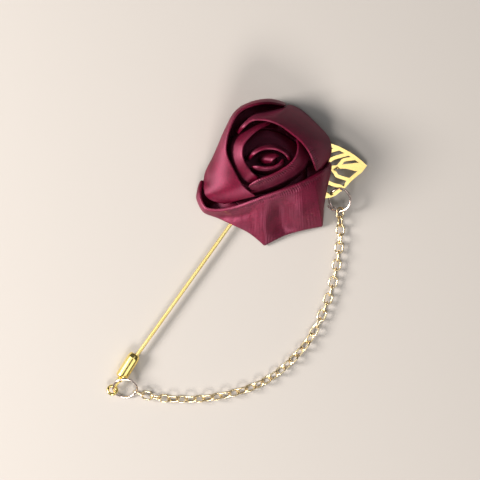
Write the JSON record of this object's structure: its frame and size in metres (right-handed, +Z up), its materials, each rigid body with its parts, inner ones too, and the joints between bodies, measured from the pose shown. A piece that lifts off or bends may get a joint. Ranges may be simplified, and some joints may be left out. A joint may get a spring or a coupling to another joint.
{
  "type": "flower lapel pin",
  "caption": "Folded satin rose on a straight pin with a pierced metal leaf, a clutch capping the pin's point and a fine chain that joins leaf and clutch.",
  "frame": {"origin": "middle of the bounding box in plan, at the height of the floor that the pin lies on", "axes": "+X to the leaf's tip side, +Y from the clutch's end towards the rose, +Z up out of the rose's open side"},
  "size_m": [0.0742, 0.0864, 0.019],
  "materials": {
    "satin": "satin weave ribbon, wine red",
    "gold": "polished gold plate",
    "pale_gold": "polished pale gold plate"
  },
  "bodies": {
    "root": {"petal_left": "satin", "petal_front": "satin", "petal_back": "satin", "petal_inner_left": "satin", "petal_inner_front": "satin", "petal_heart_back": "satin", "petal_heart_front": "satin", "rose_heart": "satin", "rose_base": "satin", "leaf": "gold", "shank": "gold", "clutch": "gold", "clutch_ring": "pale_gold", "leaf_ring": "pale_gold", "link_01": "pale_gold", "link_02": "pale_gold", "link_03": "pale_gold", "link_04": "pale_gold", "link_05": "pale_gold", "link_06": "pale_gold", "link_07": "pale_gold", "link_08": "pale_gold", "link_09": "pale_gold", "link_10": "pale_gold", "link_11": "pale_gold", "link_12": "pale_gold", "link_13": "pale_gold", "link_14": "pale_gold", "link_15": "pale_gold", "link_16": "pale_gold", "link_17": "pale_gold", "link_18": "pale_gold", "link_19": "pale_gold", "link_20": "pale_gold", "link_21": "pale_gold", "link_22": "pale_gold", "link_23": "pale_gold", "link_24": "pale_gold", "link_25": "pale_gold", "link_26": "pale_gold", "link_27": "pale_gold", "link_28": "pale_gold", "link_29": "pale_gold", "link_30": "pale_gold", "link_31": "pale_gold", "link_32": "pale_gold", "link_33": "pale_gold", "link_34": "pale_gold", "link_35": "pale_gold", "link_36": "pale_gold", "link_37": "pale_gold", "link_38": "pale_gold"}
  },
  "joints": []
}
